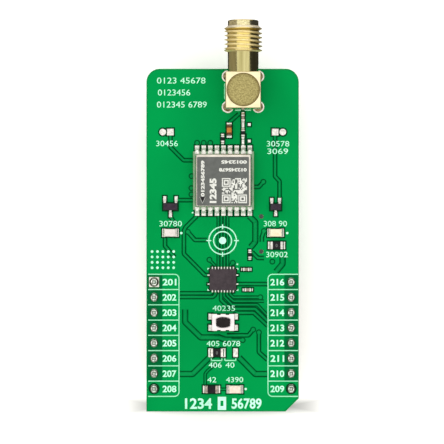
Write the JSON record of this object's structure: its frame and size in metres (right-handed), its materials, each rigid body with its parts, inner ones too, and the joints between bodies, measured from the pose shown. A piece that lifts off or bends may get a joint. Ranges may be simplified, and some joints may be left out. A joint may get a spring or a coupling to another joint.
{
  "type": "satellite positioning receiver module",
  "caption": "Plug-in satellite positioning board: shielded receiver, right-angle threaded antenna jack, status lights, push button and two rows of header pins.",
  "frame": {"origin": "middle of the two rows of header pins, on the plane where the header strips seat on a socket", "axes": "+Z out of the component side, +Y towards the antenna jack, +X across the board"},
  "size_m": [0.0254, 0.0649, 0.0166],
  "materials": {
    "solder_mask": "green solder mask over copper and glass laminate",
    "tinned_copper": "hot tinned pads",
    "solder": "reflowed solder",
    "header_plastic": "moulded black",
    "gold_plate": "bright gold plate over brass",
    "insulator": "turned white fluoropolymer",
    "module_laminate": "dark green module laminate",
    "shield_steel": "tinned steel can, grey field",
    "mould_compound": "moulded epoxy",
    "ceramic": "fired ceramic",
    "inductor_ceramic": "orange brown ceramic",
    "lens_epoxy": "cast cream epoxy",
    "led_laminate": "white laminate",
    "switch_steel": "stamped stainless sheet",
    "switch_plastic": "moulded base",
    "plunger_plastic": "moulded black plunger"
  },
  "bodies": {
    "board": {"circuit_board": "solder_mask", "solder_pads": "tinned_copper", "left_header_strip": "header_plastic", "right_header_strip": "header_plastic", "left_header_pins": "gold_plate", "right_header_pins": "gold_plate", "header_solder": "solder", "jack_block": "gold_plate", "jack_barrel": "gold_plate", "jack_cap": "gold_plate", "jack_insulator": "insulator", "jack_bushing": "insulator", "jack_contact": "gold_plate", "jack_solder": "solder", "module_board": "module_laminate", "module_contacts": "tinned_copper", "module_shield": "shield_steel", "module_receiver_chip": "mould_compound", "module_oscillator": "ceramic", "module_filters": "ceramic", "module_solder": "solder", "translator_body": "mould_compound", "translator_leads": "tinned_copper", "fix_transistor_body": "mould_compound", "fix_transistor_leads": "tinned_copper", "boot_transistor_body": "mould_compound", "boot_transistor_leads": "tinned_copper", "power_resistor_body": "mould_compound", "power_resistor_ends": "tinned_copper", "supply_link_body": "mould_compound", "supply_link_ends": "tinned_copper", "bus_link_body": "mould_compound", "bus_link_ends": "tinned_copper", "bias_inductor_body": "inductor_ceramic", "bias_inductor_ends": "tinned_copper", "small_capacitor_bodies": "ceramic", "small_capacitor_ends": "tinned_copper", "small_resistor_bodies": "mould_compound", "small_resistor_ends": "tinned_copper", "chip_solder": "solder", "switch_base": "switch_plastic", "switch_cover": "switch_steel", "switch_terminals": "tinned_copper", "switch_dome": "switch_steel", "fix_led_base": "led_laminate", "fix_led_lens": "lens_epoxy", "fix_led_ends": "tinned_copper", "data_led_base": "led_laminate", "data_led_lens": "lens_epoxy", "data_led_ends": "tinned_copper", "power_led_base": "led_laminate", "power_led_lens": "lens_epoxy", "power_led_ends": "tinned_copper"},
    "boot_button": {"switch_plunger": "plunger_plastic"}
  },
  "joints": [
    {"name": "boot_button_press", "type": "slide", "parent": "board", "child": "boot_button", "axis": [0, 0, -1], "range_m": [0, 0.00025], "stiffness_N_per_m": 4000, "springref_m": -0.0002, "deforming": ["switch_dome"]}
  ]
}
